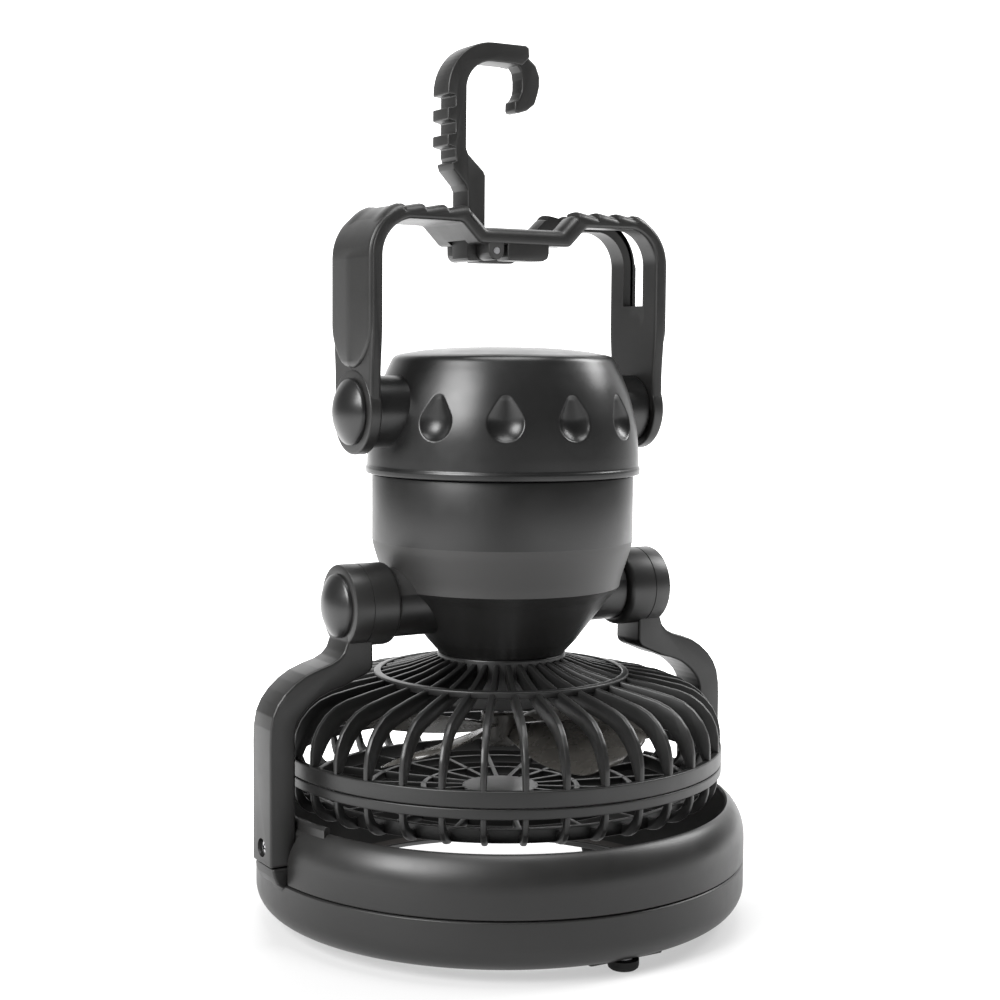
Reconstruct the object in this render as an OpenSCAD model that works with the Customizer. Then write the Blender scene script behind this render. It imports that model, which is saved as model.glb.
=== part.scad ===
// Portable camping fan with a ring light base.
// A battery and motor housing with a caged fan tilts in a yoke that stands on
// the light ring. A strap handle with a fold-out hook swings on the battery cap.
// Millimetres, +Z up, origin at the centre of the ring on the surface it stands
// on. X runs along the two pivot axes, -Y is the front.

/* [Ring base] */
// Outer radius of the light ring
ring_r = 76; // [75:0.5:76.5]
// Height of the seam between the ring's two shells
seam_z = 18.5; // [17:0.5:20]
// Height of the ring's rim
rim_z = 36; // [35:0.5:37]
// Height of the underside of the ring
under_z = 3; // [2.8:0.1:3.2]
// Number of light-emitting diodes in each of the three groups
led_per_group = 6; // [3:1:6]

/* [Yoke] */
// Height of the lower pivot, where the head tilts
pivot_z = 98.5; // [98:0.5:99]
// Width of a yoke arm, front to back
arm_w = 13; // [11:0.5:14]
// Radius of a yoke arm's barrel
barrel_r = 12.3; // [11.8:0.1:12.5]
// Radius of the axle that the head tilts on
axle_r = 6; // [5:0.5:6.5]
// Radial clearance of the running fits
run_gap = 0.08; // [0.02:0.01:0.1]

/* [Head] */
// Outer radius of the battery housing
body_r = 40.35; // [40:0.05:40.6]
// Wall thickness of the housing and the cap
wall = 2; // [1.8:0.1:2.2]
// Height of the joint between the housing and the battery cap
cap_z = 136.2; // [136:0.1:136.5]
// Number of ribs round the fan guard
rib_n = 36; // [24:6:36]
// Thickness of a guard rib
rib_t = 1.7; // [1.4:0.1:2]
// Outer radius of the fan guard
guard_r = 68.7; // [68:0.1:69]
// Number of fan blades
blade_n = 5; // [3:1:6]
// Tip radius of the fan
fan_r = 55; // [50:1:56]

/* [Handle] */
// Height of the upper pivot, where the handle swings
swing_z = 155.7; // [155.5:0.1:156.5]
// Width of the handle strap, front to back
strap_w = 26; // [25:0.5:27]
// Outside half width of the handle
strap_x = 51.8; // [51.7:0.1:52]
// Width of the slot that takes the folded hook
slot_w = 10.6; // [10.2:0.1:11]
// Width of the hook, front to back
hook_w = 9.7; // [9:0.1:9.9]

/* [Hidden] */
$fn = 96;
e = 0.02;

black = [0.13, 0.13, 0.13];
band_grey = [0.22, 0.22, 0.22];
steel = [0.7, 0.7, 0.72];

// points of an arc about (cx, cy) from angle a0 to a1 in n steps
function arc(cx, cy, r, a0, a1, n = 6) =
  [for (i = [0:n]) let (a = a0 + (a1 - a0) * i / n) [cx + r * cos(a), cy + r * sin(a)]];

// a cylinder along +X from x0 to x1 at height z
module xcyl(r, x0, x1, z) {
  translate([x0, 0, z]) rotate([0, 90, 0]) cylinder(r = r, h = x1 - x0);
}
// a cylinder along +Y from y0 to y1
module ycyl(r, x, z, y0, y1) {
  translate([x, y0, z]) rotate([-90, 0, 0]) cylinder(r = r, h = y1 - y0);
}
// a profile drawn in X and Z, centred on Y, with width w
module slab(w) {
  rotate([90, 0, 0]) linear_extrude(height = w, center = true) children();
}
module both() { children(); mirror([1, 0, 0]) children(); }

// ---------------------------------------------------------------- ring base
foot_r0 = 68.2;                 // radius on which the feet and screws stand
foot_a = [-90, 30, 150];        // their directions
cone_k = (70.2 - 61.9) / (rim_z - 1.5 - 6.7);
function cone_r(z) = 61.9 + cone_k * (z - 6.7);
arm_foot_z = 24.4;              // lower end of the yoke arms
arm_screw_z = 29.2;

module ring_upper_shell() color(black) difference() {
  union() {
    rotate_extrude() polygon(concat(
      [[ring_r - 0.35, seam_z + 0.05], [ring_r, seam_z + 0.4], [ring_r, 26]],
      [[75.7, 28.4], [74.9, 31], [73.8, 33.2], [72.5, 34.9], [71.4, 35.8], [70.7, rim_z]],
      [[70.1, rim_z - 0.4], [69.9, rim_z - 1.6], [cone_r(6.7), 6.7], [61.42, 5.05]],
      [[61.9, 5.05], [cone_r(6.7) + 0.05, 6.7], [cone_r(6.7) + 2.2, 6.7], [70.9, 31.4], [71.6, 32.2], [72.3, 31.4], [73.4, 28.6], [73.8, 26], [73.8, seam_z + 0.05]]
    ));
    // raised saddles beside the two arms
    both() intersection() {
      difference() {
        translate([0, 0, 30]) cylinder(r = 72.6, h = 8);
        translate([0, 0, 29]) cylinder(r = 70.2, h = 10);
      }
      translate([50, -19, 30]) cube([30, 38, 8]);
    }
    // bosses that take the arm screws
    both() intersection() {
      translate([69, -6.5, arm_foot_z]) cube([4, 13, 9.6]);
      difference() {
        cylinder(r = 75.5, h = 40);
        rotate_extrude() polygon([[0, 0], [cone_r(6.7) + 0.6, 6.7], [69.9 + 0.6, rim_z - 1.6], [69.9, 60], [0, 60]]);
      }
    }
    // screw posts over the feet
    for (a = foot_a) rotate([0, 0, a]) translate([foot_r0, 0, 12.5]) cylinder(r = 3.3, h = 12);
  }
  // pockets that the yoke arms stand in, flared beside the arms
  both() translate([73, 0, 0]) rotate([90, 0, 90]) linear_extrude(height = 12)
    polygon([[-arm_w / 2, seam_z - 1], [arm_w / 2, seam_z - 1], [arm_w / 2, 25.5], [9.4, 37], [-9.4, 37], [-arm_w / 2, 25.5]]);
  both() xcyl(1.4, 68.6, 76, arm_screw_z);
  for (a = foot_a) rotate([0, 0, a]) translate([foot_r0, 0, 12]) cylinder(r = 1.4, h = 10);
}

module ring_lower_shell() color(black) difference() {
  union() {
    rotate_extrude() polygon(concat(
      arc(68.5, 10.5, 7.5, -78, 0, 9),
      [[ring_r, seam_z - 0.4], [ring_r - 0.35, seam_z - 0.05], [73.8, seam_z - 0.05], [73.8, 10.5]],
      arc(68.5, 10.5, 5.3, -12, -48, 4),
      [[71.2, 5.0], [70.06, 5.0]]
    ));
    // tongues that back the feet of the yoke arms
    both() slab(arm_w - 0.2) polygon([[73.3, 14], [75.6, 14], [76.2, 17.4], [78.4, 18.8], [79.7, 21.2], [80.5, 24.1], [73.3, 24.1]]);
    difference() {
      translate([0, 0, under_z]) cylinder(r = 63.4, h = 2);
      translate([0, 0, under_z - 1]) cylinder(r = 61.4, h = 4);
    }
    // plates across the light window that carry the feet
    for (a = foot_a) rotate([0, 0, a]) intersection() {
      translate([61, -12.5, 2.8]) cube([12, 25, 2.2]);
      difference() { cylinder(r = 71.3, h = 10); cylinder(r = 61.4, h = 10); }
    }
  }
  for (a = foot_a) rotate([0, 0, a]) translate([foot_r0, 0, 0]) {
    cylinder(r = 1.5, h = 10);
    cylinder(r = 2.9, h = 4.0);
  }
}

module led_lens() color([0.85, 0.9, 0.95, 0.5]) difference() {
  translate([0, 0, 5]) cylinder(r = 70.9, h = 1.6);
  translate([0, 0, 4]) cylinder(r = 62, h = 4);
  for (a = foot_a) rotate([0, 0, a]) translate([foot_r0, 0, 4]) cylinder(r = 1.5, h = 4);
}

module led_board() color([0.9, 0.9, 0.88]) difference() {
  translate([0, 0, 11]) cylinder(r = 73, h = 1.4);
  translate([0, 0, 10]) cylinder(r = 65.9, h = 4);
  for (a = foot_a) rotate([0, 0, a]) translate([foot_r0, 0, 9]) cylinder(r = 1.5, h = 4);
}

led_a = [for (g = [0:2]) for (i = [0:led_per_group - 1]) -30 + 120 * g + (i - (led_per_group - 1) / 2) * 90 / (led_per_group - 1)];
module leds() color([0.95, 0.95, 1]) for (a = led_a) rotate([0, 0, a]) translate([68.9, 0, 0]) {
  translate([0, 0, 10.2]) cylinder(r = 2.9, h = 0.8);
  translate([0, 0, 9.4]) cylinder(r = 2.5, h = 1);
  intersection() {
    translate([0, 0, 9.4]) sphere(r = 2.5);
    translate([0, 0, 5]) cylinder(r = 3, h = 4.5);
  }
}

module ring_feet() color([0.08, 0.08, 0.08]) for (a = foot_a) rotate([0, 0, a]) translate([foot_r0, 0, 0])
  rotate_extrude() polygon([[0, 0], [3.7, 0], [4.3, 0.5], [4.5, 1.2], [4.5, 2.8], [0, 2.8]]);

module shell_screws() color(steel) for (a = foot_a) rotate([0, 0, a]) translate([foot_r0, 0, 0]) {
  translate([0, 0, 2.85]) cylinder(r = 2.7, h = 1.15);
  translate([0, 0, 3.9]) cylinder(r = 1.4, h = 17);
}

// ---------------------------------------------------------------- yoke
module arm_outline() polygon([
  [81, arm_foot_z], [81, 60], [80.8, 64.7], [80.1, 68.6], [78.6, 71.9], [76.2, 75], [73, 77.8], [69.6, 79.9],
  [65.4, 81.5], [61.6, 82.6], [59.2, 83.8], [57.4, 85.6], [56.4, 88.4], [56.2, 91], [56.2, pivot_z], [47.9, pivot_z],
  [47.9, 80.9], [48.5, 79.6], [49.7, 78.7], [57.7, 75.4], [61.5, 74.4], [65.1, 72.9], [67.4, 71.4],
  [69.2, 69.9], [70.9, 68.1], [72.1, 66.2], [72.8, 64.2], [73, 62], [73, arm_foot_z]
]);

module yoke_arm() difference() {
  union() {
    slab(arm_w) arm_outline();
    xcyl(barrel_r - 0.9, 41, 41.9, pivot_z);
    xcyl(barrel_r, 41.9, 56.2, pivot_z);
  }
  xcyl(axle_r + run_gap, 40, 58, pivot_z);
  xcyl(8.5, 53, 58, pivot_z);
  xcyl(1.5, 72, 82, arm_screw_z);
  xcyl(2.7, 79.4, 82, arm_screw_z);
}
module yoke_arm_right() color(black) yoke_arm();
module yoke_arm_left() color(black) mirror([1, 0, 0]) yoke_arm();

module arm_screws() color([0.3, 0.3, 0.32]) both() {
  xcyl(2.6, 79.4, 80.7, arm_screw_z);
  xcyl(1.4, 69.6, 79.6, arm_screw_z);
}

// domed cover: rim at x0, apex at x1, with a spigot that plugs a counterbore
module dome(r, x0, x1, z) {
  h = x1 - x0 - 1;
  rr = (r * r + h * h) / (2 * h);
  translate([x0, 0, z]) rotate([0, 90, 0]) union() {
    cylinder(r = r, h = 1);
    intersection() {
      translate([0, 0, 1 + h - rr]) sphere(r = rr);
      cylinder(r = r, h = h + 2);
    }
  }
}
module yoke_pivot_caps() color(black) both() difference() {
  union() {
    dome(9.5, 56.25, 60.5, pivot_z);
    xcyl(8.4, 55.3, 56.3, pivot_z);
  }
  xcyl(7.2, 55, 57.2, pivot_z);
}

// ---------------------------------------------------------------- housing
neck_r = 37.8;
floor_z = 101.3;
module housing_outer() rotate_extrude() polygon([
  [0, 81], [19.6, 81], [21.2, 82.8], [23.2, 85], [25.3, 87.8], [27.5, 90.7], [30.4, 94.4], [33.6, 98.6], [35.4, 100.6], [36.3, 101.8],
  [36.9, 104.2], [38.5, 109.3], [39.9, 113.9], [body_r, 116.1], [body_r, cap_z - 0.35], [body_r - 0.3, cap_z],
  [neck_r, cap_z], [neck_r, 150], [0, 150]
]);
// battery bay above the floor
module bay() rotate_extrude() polygon([
  [0, floor_z], [34.3, floor_z], [34.9, 104], [36.5, 109.6], [38, 114.2], [38.3, 116.5], [38.3, 132],
  [35.4, 135], [35.4, 152], [0, 152]
]);
// motor bay below it
module motor_bay() rotate_extrude() polygon([
  [0, 80], [17.5, 80], [17.5, 81], [23.4, 88.6], [28.5, 95.2], [30.6, 98], [29, floor_z - 2], [0, floor_z - 2]
]);
btn_x = 9;
btn_z = 125.5;
module housing() color(black) difference() {
  union() {
    housing_outer();
    both() xcyl(10.4, 24, 40.7, pivot_z);
    both() xcyl(axle_r, 40, 53.2, pivot_z);
    // bayonet lugs on the neck
    for (a = [90, 210, 330]) rotate([0, 0, a]) intersection() {
      translate([36, -8, 144]) cube([5, 16, 2.5]);
      translate([0, 0, 140]) cylinder(r = 39.3, h = 10);
    }
  }
  bay();
  motor_bay();
  both() xcyl(1.4, 42, 54, pivot_z);
  // bores for the two push buttons
  for (s = [-1, 1]) ycyl(4.9, s * btn_x, btn_z, 33, 42);
}

module switch_bezel() color([0.1, 0.1, 0.1]) difference() {
  intersection() {
    difference() {
      translate([0, 0, btn_z - 9]) cylinder(r = 41.4, h = 18);
      translate([0, 0, btn_z - 10]) cylinder(r = body_r + 0.02, h = 20);
    }
    union() {
      translate([-btn_x, 20, btn_z - 7.5]) cube([2 * btn_x, 30, 15]);
      for (s = [-1, 1]) ycyl(7.5, s * btn_x, btn_z, 20, 50);
    }
  }
  for (s = [-1, 1]) ycyl(4.9, s * btn_x, btn_z, 20, 50);
}

module button() {
  ycyl(4.5, 0, 0, 36.6, 41.4);
  translate([0, 41.4, 0]) rotate([-90, 0, 0]) intersection() {
    translate([0, 0, 1.3 - 8.5]) sphere(r = 8.5);
    cylinder(r = 4.5, h = 3);
  }
  ycyl(1.6, 0, 0, 34.4, 36.7);
}
module fan_button() color([0.2, 0.2, 0.2]) translate([-btn_x, 0, btn_z]) button();
module light_button() color([0.2, 0.2, 0.2]) translate([btn_x, 0, btn_z]) button();

module switch_bodies() color([0.15, 0.15, 0.16]) for (s = [-1, 1]) difference() {
  translate([s * btn_x - 5.6, 25.5, btn_z - 5.6]) cube([11.2, 9.9, 11.2]);
  ycyl(1.9, s * btn_x, btn_z, 30.4, 33);
  ycyl(5, s * btn_x, btn_z, 32.4, 36);
}

module cap_gasket() color([0.35, 0.12, 0.1]) rotate_extrude()
  polygon([[neck_r, cap_z + 0.05], [39.4, cap_z + 0.05], [39.5, cap_z + 0.6], [39.2, cap_z + 1.3], [neck_r, cap_z + 1.5]]);

module pivot_washers() color(steel) both() difference() {
  xcyl(8, 53.25, 54.05, pivot_z);
  xcyl(1.5, 53, 55, pivot_z);
}
module pivot_screws() color(steel) both() {
  xcyl(3.2, 54.1, 55.9, pivot_z);
  xcyl(1.4, 43, 54.2, pivot_z);
}

// ---------------------------------------------------------------- fan guard
module ring_of(n, a0 = 0) for (i = [0:n - 1]) rotate([0, 0, a0 + i * 360 / n]) children();

module guard_upper() color(black) {
  difference() {
    union() {
      // cup that carries the motor
      translate([0, 0, 65.5]) cylinder(r = 20, h = 15.4);
      // ribs
      ring_of(rib_n, 270 + 180 / rib_n) slab(rib_t) polygon([
        [17, 80.2], [20, 79.8], [29, 76.8], [38.6, 74.5], [48, 72.9], [56, 71.2], [60, 69.7], [63.2, 67.4], [65.9, 64.2],
        [67.6, 60.6], [68.3, 57], [68.4, 50], [67, 50], [66, 52.6], [64.6, 55.6], [63, 58.6], [60.8, 61.8], [57.6, 64.6],
        [54, 66.2], [47, 67.9], [38, 69.6], [29, 71.8], [20, 74.6], [17, 75.4]
      ]);
    }
    translate([0, 0, 67.5]) cylinder(r = 17.6, h = 20);
    translate([0, 0, 60]) cylinder(r = 3.1, h = 20);
    for (s = [-1, 1]) translate([s * 8, 0, 60]) cylinder(r = 1.1, h = 10);
  }
  rotate_extrude() polygon([[66.7, 48.1], [guard_r - 0.3, 48.1], [guard_r, 48.4], [guard_r, 52.5], [guard_r - 0.4, 52.9], [66.7, 52.9]]);
  rotate_extrude() polygon([[37.7, 73.2], [39.5, 72.8], [39.6, 74.6], [39.2, 75.1], [38, 75.3], [37.6, 74.9]]);
}

module guard_lower() color(black) {
  rotate_extrude() polygon([[66.7, 44.9], [guard_r - 0.4, 44.9], [guard_r, 45.3], [guard_r, 47.5], [guard_r - 0.3, 47.85], [66.7, 47.85]]);
  ring_of(rib_n, 270 + 180 / rib_n) slab(rib_t) polygon([
    [68.2, 46.5], [68, 42.6], [67.2, 39.8], [65.6, 37.6], [63.4, 36.1], [61, 35.6], [59, 35.6], [59, 39.4], [61, 38.9], [63, 39.4], [64.8, 41.2], [66, 44], [66.9, 46.5]
  ]);
  rotate_extrude() polygon([[58.4, 36], [60.3, 36], [60.3, 40.2], [58.4, 40.2]]);
  // flat grille
  ring_of(18, 5) translate([11, -0.8, 36]) cube([48, 1.6, 2.4]);
  for (r = [25, 42]) difference() {
    translate([0, 0, 36]) cylinder(r = r, h = 2.4);
    translate([0, 0, 35]) cylinder(r = r - 1.8, h = 5);
  }
  translate([0, 0, 36]) cylinder(r = 12, h = 2.4);
}

// ---------------------------------------------------------------- drive
module motor() color([0.72, 0.72, 0.7]) difference() {
  union() {
    intersection() {
      translate([0, 0, 67.55]) cylinder(r = 12.2, h = 27);
      translate([-20, -9.6, 60]) cube([40, 19.2, 50]);
    }
    translate([0, 0, 65.4]) cylinder(r = 3, h = 3);
    translate([0, 0, 94]) cylinder(r = 3, h = 2.4);
  }
  translate([0, 0, 60]) cylinder(r = 1 + run_gap, h = 20);
  for (s = [-1, 1]) translate([s * 8, 0, 60]) cylinder(r = 1, h = 12);
}
module motor_screws() color(steel) for (s = [-1, 1]) translate([s * 8, 0, 0]) {
  translate([0, 0, 64.2]) cylinder(r = 2, h = 1.25);
  translate([0, 0, 65]) cylinder(r = 1, h = 6.5);
}
module motor_shaft() color(steel) translate([0, 0, 52]) cylinder(r = 1, h = 27.5);

// one blade: a paddle outline, pitched about its own radius
module blade() rotate([-27, 0, 0]) translate([0, 0, -0.7]) linear_extrude(height = 1.4) polygon(concat(
  [[4.6, -3.2], [12, -7.5], [24, -11.5], [36, -13.6], [46, -13.4]],
  arc(fan_r - 7.2, -6.2, 7, -72, 0, 5), arc(fan_r - 7.2, 4, 7, 0, 76, 5),
  [[40, 11.4], [26, 9.2], [12, 6], [4.6, 3.2]]
));
module impeller() color([0.3, 0.3, 0.3, 0.8]) difference() {
  union() {
    translate([0, 0, 51.5]) cylinder(r = 6.2, h = 10.5);
    ring_of(blade_n, 20) translate([0, 0, 56.5]) blade();
  }
  translate([0, 0, 52]) cylinder(r = 1, h = 12);
}

// ---------------------------------------------------------------- batteries
cell_r = 17.1;
cell_x = 17.2;
cell_z = 104.6;
module cell() {
  translate([0, 0, 0]) cylinder(r = cell_r, h = 59.5);
  translate([0, 0, 59.4]) cylinder(r = 4.7, h = 1.6);
}
module battery_cells() color([0.25, 0.3, 0.35]) {
  translate([-cell_x, 0, cell_z]) cell();
  translate([cell_x, 0, cell_z + 61]) mirror([0, 0, 1]) cell();
}
module contact_board() color([0.15, 0.35, 0.2]) difference() {
  translate([0, 0, floor_z + 0.05]) cylinder(r = 33.8, h = 1.2);
  cylinder(r = 2, h = 120);
}
module battery_springs() color(steel) for (s = [-1, 1]) translate([s * cell_x, 0, 0]) {
  for (k = [0:2]) translate([0, 0, 102.9 + k * 0.62]) rotate_extrude() translate([6.5 - k * 0.9, 0]) circle(r = 0.35, $fn = 16);
  for (k = [0:1]) translate([6.05 - k * 0.9, 0, 103.2 + k * 0.62]) cube([1.2, 0.7, 0.9], center = true);
}

// ---------------------------------------------------------------- cap
dimple_a = [-150, -120, -90, -60, -30, 30, 60, 90, 120, 150];
module cap_outer() rotate_extrude() polygon([
  [0, cap_z + 0.3], [42.3, cap_z + 0.3], [42.35, 138.3], [41.95, 138.8], [41.8, 143], [41.3, 149.4], [40.5, 154.2], [39.3, 158.7], [37.9, 163],
  [36.1, 167.4], [34.8, 170.2], [34, 171.5], [33, 172.3], [31.4, 172.9], [24, 174.1], [14, 174.9], [0, 175.2]
]);
module cap_inner() rotate_extrude() polygon([
  [0, 130], [39.9, 130], [39.9, 147.2], [38.8, 150.6], [36.4, 152.2], [35.9, 155], [35.4, 158.4], [34.9, 162.6],
  [34.7, 165.8], [33.6, 168], [32, 169.4], [30.5, 169.6], [30.5, 166.6], [0, 166.6]
]);
// an egg-shaped scoop: a large ball outside the wall, a small one above it and
// the cone between them
dimple_c = [46, 154.2];
dimple_p = [41.3, 159.6];
module dimple() {
  v = dimple_p - dimple_c;
  l = norm(v);
  translate([dimple_c[0], 0, dimple_c[1]]) {
    sphere(r = 8);
    rotate([0, atan2(v[0], v[1]), 0]) {
      translate([0, 0, 5]) cylinder(r1 = 6.1, r2 = 2.35, h = 4.2);
      translate([0, 0, l]) sphere(r = 3.3);
    }
  }
}
module battery_cap() color(black) difference() {
  union() {
    difference() {
      union() {
        cap_outer();
        both() xcyl(10.7, 30, strap_x - 3.8, swing_z);
      }
      cap_inner();
      for (a = dimple_a) rotate([0, 0, a]) dimple();
    }
    both() xcyl(5, 46, strap_x - 0.7, swing_z);
    // bayonet lugs under those of the neck
    for (a = [90, 210, 330]) rotate([0, 0, a]) intersection() {
      translate([36, -8, 140.8]) cube([6, 16, 2.9]);
      difference() {
        translate([0, 0, 135]) cylinder(r = 40.6, h = 12);
        translate([0, 0, 134]) cylinder(r = 38.1, h = 14);
      }
    }
  }
  both() xcyl(1.4, 42, 54, swing_z);
}
module cap_contact() color([0.8, 0.65, 0.3]) intersection() {
  translate([-27, -6, 165.9]) cube([54, 12, 0.65]);
  translate([0, 0, 160]) cylinder(r = 27, h = 10);
}
module handle_screws() color(steel) both() {
  xcyl(6, strap_x - 0.65, strap_x + 0.1, swing_z);
  xcyl(2.8, strap_x + 0.05, strap_x + 1.4, swing_z);
  xcyl(1.4, strap_x - 9.5, strap_x + 0.2, swing_z);
}

// ---------------------------------------------------------------- handle
top_z = 215.2;      // top of the strap between its grip teeth
bar_z = 209.1;      // top of the lowered bar in the middle
pin_x = -10.4;
pin_z = 203.6;
slot_z = 188.5;       // lower end of the slot in the right arm
module strap_half() polygon(concat(
  [[0, bar_z], [13.6, bar_z], [19.6, top_z]],
  [[27, top_z], [32, top_z]],
  arc(strap_x - 14.6, 201, 14.6, 72, 0, 8),
  [[strap_x, 150], [strap_x - 3.6, 150]],
  arc(strap_x - 14.6, 201, 11, 0, 80, 8),
  [[21.6, 211.6], [15.6, 205.6], [0, 205.6]]
));
// grip teeth: a steep left side and a long right side
module teeth() for (x = [-37.4, -30, -26.2, 17.6, 24.9, 32.2]) polygon([[x, top_z - 0.6], [x + 0.3, 216.5], [x + 2.2, 216.4], [x + 6.3, top_z - 0.6]]);
// raised pads on the outer faces of the arms
module pad() {
  intersection() {
    translate([strap_x - 0.4, 0, 0]) linear_extrude(height = 202)
      polygon([[0, -12.8], [0.5, -12.8], [0.8, -12.2], [1.1, -4], [1.1, 4], [0.8, 12.2], [0.5, 12.8], [0, 12.8]]);
    rotate([90, 0, 90]) linear_extrude(height = 60) union() {
      translate([-13, 182]) square([26, 22]);
      intersection() {
        translate([0, 182]) circle(r = 12.8);
        translate([-13, 160]) square([26, 40]);
      }
    }
  }
}
module handle() color(black) difference() {
  union() {
    difference() {
      slab(strap_w) union() { strap_half(); mirror([1, 0]) strap_half(); teeth(); }
      // the arms are narrower below the pads
      for (s = [-1, 1], t = [-1, 1]) translate([s * 50, t * (11.9 + 5), 158]) cube([10, 10, 22], center = true);
      translate([0, 0, 140]) cube([200, 60, 2 * (swing_z - 140)], center = true);
    }
    both() xcyl(12.6, strap_x - 3.55, strap_x + 0.2, swing_z);
    both() pad();
    // lugs for the hook's pin and stiffening ribs under the bar
    ycyl(2.7, pin_x, pin_z, -strap_w / 2, strap_w / 2);
    translate([pin_x - 2.7, -strap_w / 2, pin_z]) cube([5.4, strap_w, 3]);
    slab(strap_w) polygon([[-6.4, 207], [-6.4, 202], [-5.8, 200.9], [6, 200.9], [7.6, 201.7], [8.2, 203.4], [8.2, 207]]);
  }
  // slot for the folded hook
  translate([-17, -slot_w / 2, slot_z]) cube([80, slot_w, 40]);
  both() xcyl(5 + run_gap, 46, 56, swing_z);
  both() xcyl(6.6, strap_x - 0.9, 56, swing_z);
  ycyl(1.0, pin_x, pin_z, -20, 20);
}
module handle_pivot_caps() color(black) both() difference() {
  dome(9.8, strap_x + 0.25, strap_x + 5, swing_z);
  xcyl(7.6, strap_x, strap_x + 2, swing_z);
}
module hook_pin() color(steel) ycyl(1.0, pin_x, pin_z, -strap_w / 2, strap_w / 2);

// ---------------------------------------------------------------- hook
module hook() color(black) difference() {
  union() {
    slab(hook_w) polygon(concat(
      [[-15.2, 200.9], [-10.4, 200.9], [-9.4, 201.4], [-8.9, 202.4], [-9.7, 206], [-9.7, 226.4], [-10.3, 227.6], [-15.6, 232.4], [-16.3, 234], [-16.3, 251.4]],
      arc(-7.4, 251.4, 8.9, 180, 90, 7),
      [[0, 260.3], [3, 260], [5.6, 262.6], [5.4, 265.4], [4.4, 266]],
      arc(-7.2, 250.6, 15.4, 90, 180, 10),
      [[-22.6, 249.6], [-20, 249.4], [-20, 246.2], [-22.7, 245.6], [-22.7, 242.2], [-20, 241.6], [-20, 238.4], [-22.7, 237.8], [-22.7, 234.6], [-20, 234]],
      [[-20, 231.4], [-19.4, 230.2], [-21.2, 229.6], [-20.6, 227.6], [-16.6, 223.4], [-15.7, 221.6], [-15.7, 201.6]]
    ));
    // the nose is narrower than the rest
    slab(6.4) polygon(concat(
      [[1, 261], [2.6, 259.8], [3.6, 258.4], [4, 256], [4, 253.6], [3.8, 252.2], [3, 250.6], [2.4, 249.9], [1.6, 249.4], [1.5, 246.8], [2, 246.1]],
      [[3.2, 246], [6, 246.9], [8.6, 248.9], [9.7, 252], [10.3, 254.4], [10.3, 257.4], [9, 260.6], [5.8, 263.2], [3, 263.6]]
    ));
  }
  ycyl(1.0 + run_gap - 0.02, pin_x, pin_z, -10, 10);
}

ring_upper_shell();
ring_lower_shell();
led_lens();
led_board();
leds();
ring_feet();
shell_screws();
yoke_arm_left();
yoke_arm_right();
arm_screws();
yoke_pivot_caps();
housing();
guard_upper();
guard_lower();
motor();
motor_screws();
contact_board();
battery_springs();
battery_cells();
switch_bezel();
switch_bodies();
cap_gasket();
pivot_washers();
pivot_screws();
impeller();
motor_shaft();
battery_cap();
cap_contact();
handle_screws();
handle();
handle_pivot_caps();
hook_pin();
hook();
fan_button();
light_button();
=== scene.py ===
import bpy
import bmesh
import math
import numpy as np
from mathutils import Vector, Matrix


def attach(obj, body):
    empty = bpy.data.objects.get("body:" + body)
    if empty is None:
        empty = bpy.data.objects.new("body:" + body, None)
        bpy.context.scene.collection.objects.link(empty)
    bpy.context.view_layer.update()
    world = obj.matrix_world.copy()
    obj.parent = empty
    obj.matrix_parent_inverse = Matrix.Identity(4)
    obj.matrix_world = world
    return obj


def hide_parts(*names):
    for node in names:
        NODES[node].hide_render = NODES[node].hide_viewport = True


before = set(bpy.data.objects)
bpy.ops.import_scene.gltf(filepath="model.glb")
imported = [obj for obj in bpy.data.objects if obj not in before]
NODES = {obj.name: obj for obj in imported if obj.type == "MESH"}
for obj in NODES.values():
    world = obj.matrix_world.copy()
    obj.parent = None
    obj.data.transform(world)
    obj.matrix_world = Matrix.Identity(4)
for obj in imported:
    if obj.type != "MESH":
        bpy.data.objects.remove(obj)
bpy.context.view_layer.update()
S = 0.001
scene = bpy.context.scene

# ------------------------------------------------------------------ camera
AZ = math.radians(31.0)
PITCH = math.radians(4.7)
cam_data = bpy.data.cameras.new("camera")
cam_data.lens = 64.7
cam_data.sensor_width = 36.0
cam_data.clip_start = 0.01
cam_data.clip_end = 50
cam = bpy.data.objects.new("camera", cam_data)
scene.collection.objects.link(cam)
aside = 0.00077
cam.location = (-0.555 * math.sin(AZ) - aside * math.cos(AZ), -0.555 * math.cos(AZ) + aside * math.sin(AZ), 0.1735)
roll = math.radians(0.44)
cam.rotation_euler = (Matrix.Rotation(-AZ, 3, "Z") @ Matrix.Rotation(math.pi / 2 - PITCH, 3, "X") @ Matrix.Rotation(roll, 3, "Z")).to_euler()
scene.camera = cam

# ------------------------------------------------------------------ mesh tools


class Mesh:
    """Collects vertices (millimetres), faces and material numbers."""

    def __init__(self):
        self.v, self.f, self.m = [], [], []

    def add(self, part, mat=0, at=None):
        verts, faces = part
        o = len(self.v)
        if at is not None:
            verts = [tuple(at @ Vector(p)) for p in verts]
        self.v += [tuple(p) for p in verts]
        self.f += [tuple(i + o for i in f) for f in faces]
        self.m += [mat] * len(faces)
        return self


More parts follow.
